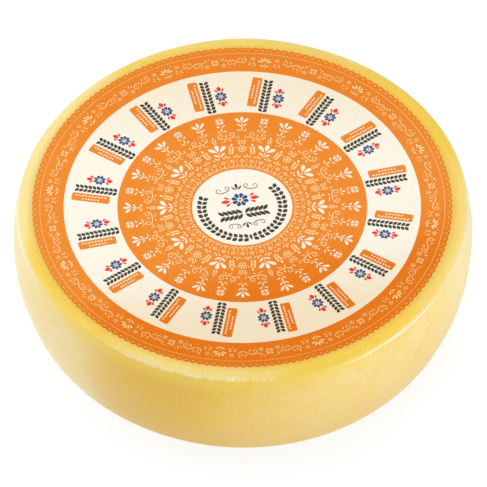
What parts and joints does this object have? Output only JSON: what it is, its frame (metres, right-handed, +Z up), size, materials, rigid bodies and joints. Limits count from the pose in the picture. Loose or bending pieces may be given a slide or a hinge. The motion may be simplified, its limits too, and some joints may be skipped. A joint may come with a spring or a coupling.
{
  "type": "raclette cheese wheel",
  "caption": "Whole round wheel of semi-hard melting cheese with a bulging side, a crisp top edge and a round lace-edged paper label lying on its top face.",
  "frame": {"origin": "middle of the underside, on the surface that the wheel rests on", "axes": "+Z up through the flat top face and its label; X and Y across the wheel, with the picture's camera looking roughly along +Y and down"},
  "size_m": [0.299, 0.3004, 0.08],
  "materials": {
    "cheese": "pale yellow pressed cheese, smooth and slightly waxy, with a soft sheen",
    "printed_paper": "satin label paper printed with orange rings and cream ornament"
  },
  "bodies": {
    "root": {"cheese_wheel": "cheese", "paper_label": "printed_paper"}
  },
  "joints": []
}
